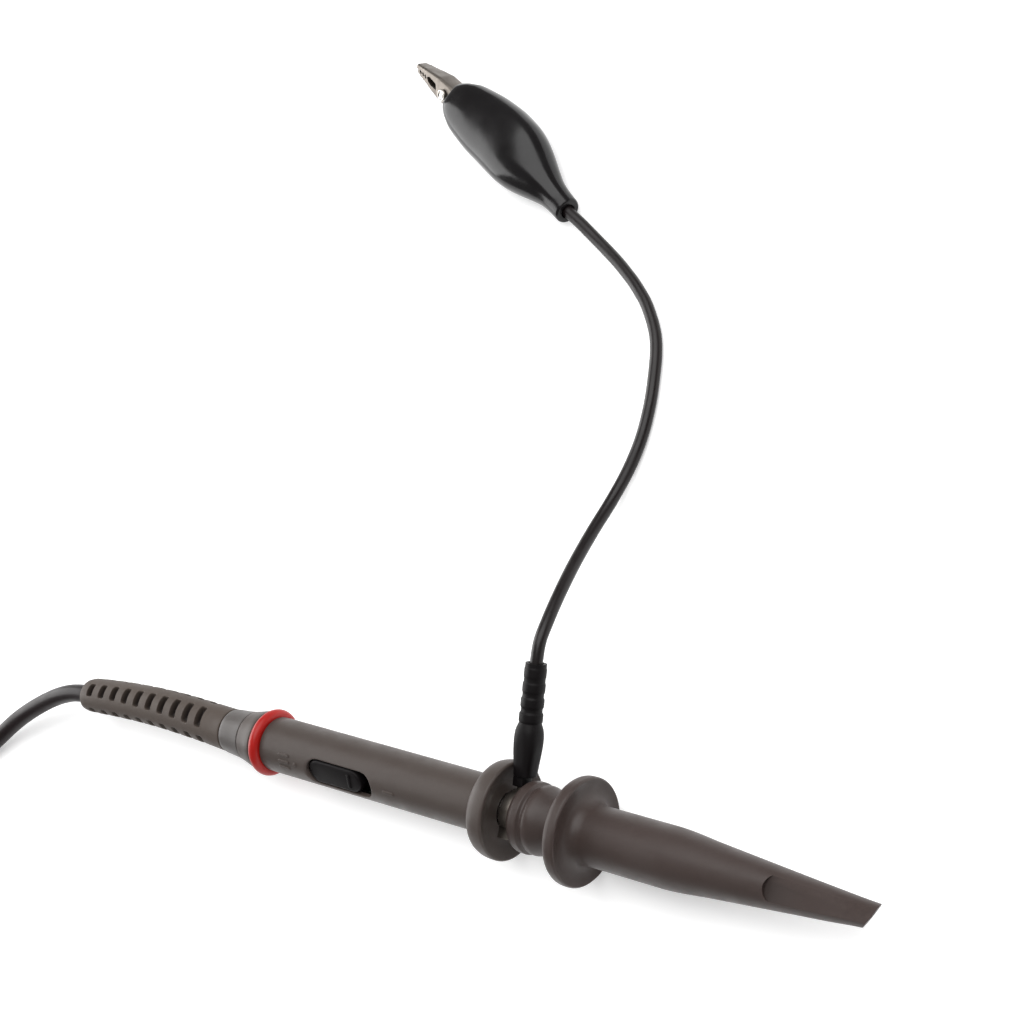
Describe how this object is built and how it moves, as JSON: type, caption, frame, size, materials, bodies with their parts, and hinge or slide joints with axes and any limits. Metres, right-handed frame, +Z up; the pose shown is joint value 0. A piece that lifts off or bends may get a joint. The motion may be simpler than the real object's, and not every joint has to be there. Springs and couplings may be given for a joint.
{
  "type": "oscilloscope probe",
  "caption": "Passive oscilloscope probe with a retractable hook tip, attenuation switch, ground lead with alligator clip, and a coiled cable ending in a BNC plug.",
  "frame": {"origin": "on the bench under the middle of the probe head, which is measured without its cords", "axes": "+X along the head towards the hook tip, +Y towards the ground lead, +Z up from the bench"},
  "size_m": [0.2891, 0.2898, 0.0218],
  "materials": {
    "barrel_plastic": "satin",
    "sleeve_plastic": "satin",
    "band_plastic": "satin",
    "relief_rubber": "satin",
    "black_plastic": "satin",
    "boot_vinyl": "gloss",
    "cable_jacket": "satin",
    "lead_jacket": "satin",
    "red_rubber": "satin",
    "nickel": "polished",
    "brass": "polished",
    "spring_steel": "satin",
    "circuit_board": "satin",
    "ceramic": "matte",
    "white_plastic": "satin",
    "gasket_rubber": "matte"
  },
  "bodies": {
    "probe": {"barrel": "barrel_plastic", "guard_cap": "barrel_plastic", "ground_barrel": "nickel", "tip_insulator": "white_plastic", "tip_pin": "brass", "shield_tube": "nickel", "marker_ring": "red_rubber", "rear_bushing": "band_plastic", "cable_ferrule": "nickel", "cable_inner_end": "cable_jacket", "strain_relief": "relief_rubber", "attenuator_board": "circuit_board", "attenuator_resistor": "ceramic", "attenuator_capacitor": "ceramic", "switch_base": "black_plastic", "probe_cable": "cable_jacket", "cable_coil": "cable_jacket", "cable_tail": "cable_jacket", "cable_tie": "black_plastic", "ground_lead": "lead_jacket", "clip_fixed_jaw": "nickel", "clip_pivot_pin": "nickel", "clip_spring": "spring_steel", "clip_wire_screw": "brass", "clip_boot": "boot_vinyl", "bnc_strain_relief": "relief_rubber", "bnc_box": "barrel_plastic", "bnc_box_cover": "barrel_plastic", "bnc_board": "circuit_board", "trimmer_capacitor": "white_plastic", "bnc_body": "nickel", "bnc_insulator": "white_plastic", "bnc_centre_pin": "brass", "bnc_contact_ring": "nickel", "bnc_gasket": "gasket_rubber"},
    "switch_slider": {"switch_knob": "black_plastic"},
    "hook_tip": {"hook_tip_core": "sleeve_plastic", "hook": "nickel", "hook_spring": "spring_steel"},
    "hook_tip_sleeve": {"hook_sleeve": "sleeve_plastic"},
    "ground_swivel": {"ground_clip": "nickel", "ground_plug": "black_plastic"},
    "clip_jaw": {"clip_moving_jaw": "nickel"},
    "bayonet_nut": {"bnc_bayonet_sleeve": "nickel"},
    "trimmer": {"trimmer_screw": "brass"}
  },
  "joints": [
    {"name": "attenuation_switch", "type": "slide", "parent": "probe", "child": "switch_slider", "axis": [1, 0, 0], "range_m": [0, 0.0032]},
    {"name": "hook_tip_pull_off", "type": "slide", "parent": "probe", "child": "hook_tip", "axis": [1, 0, 0], "range_m": [0, 0.032]},
    {"name": "sleeve_retract", "type": "slide", "parent": "hook_tip", "child": "hook_tip_sleeve", "axis": [-1, 0, 0], "range_m": [0, 0.0055], "stiffness_N_per_m": 200, "springref_m": -0.004, "deforming": ["hook_spring"]},
    {"name": "ground_clip_swivel", "type": "hinge", "parent": "probe", "child": "ground_swivel", "pos_m": [0.02295, 0, 0.0107], "axis": [1, 0, 0], "range_deg": [-20, 45], "deforming": ["ground_lead"]},
    {"name": "clip_jaw_open", "type": "hinge", "parent": "probe", "child": "clip_jaw", "pos_m": [-0.05485, 0.1492, 0.0055], "axis": [-0.2693, -0.5064, 0.8192], "range_deg": [0, 14], "stiffness_Nm_per_rad": 0.01, "springref_deg": -28.65},
    {"name": "bayonet_nut_turn", "type": "hinge", "parent": "probe", "child": "bayonet_nut", "pos_m": [-0.14685, -0.122, 0.0075], "axis": [0.9976, -0.0698, 0], "continuous": true},
    {"name": "trimmer_turn", "type": "hinge", "parent": "probe", "child": "trimmer", "pos_m": [-0.11263, -0.12439, 0.0075], "axis": [0, 0, 1], "continuous": true}
  ]
}
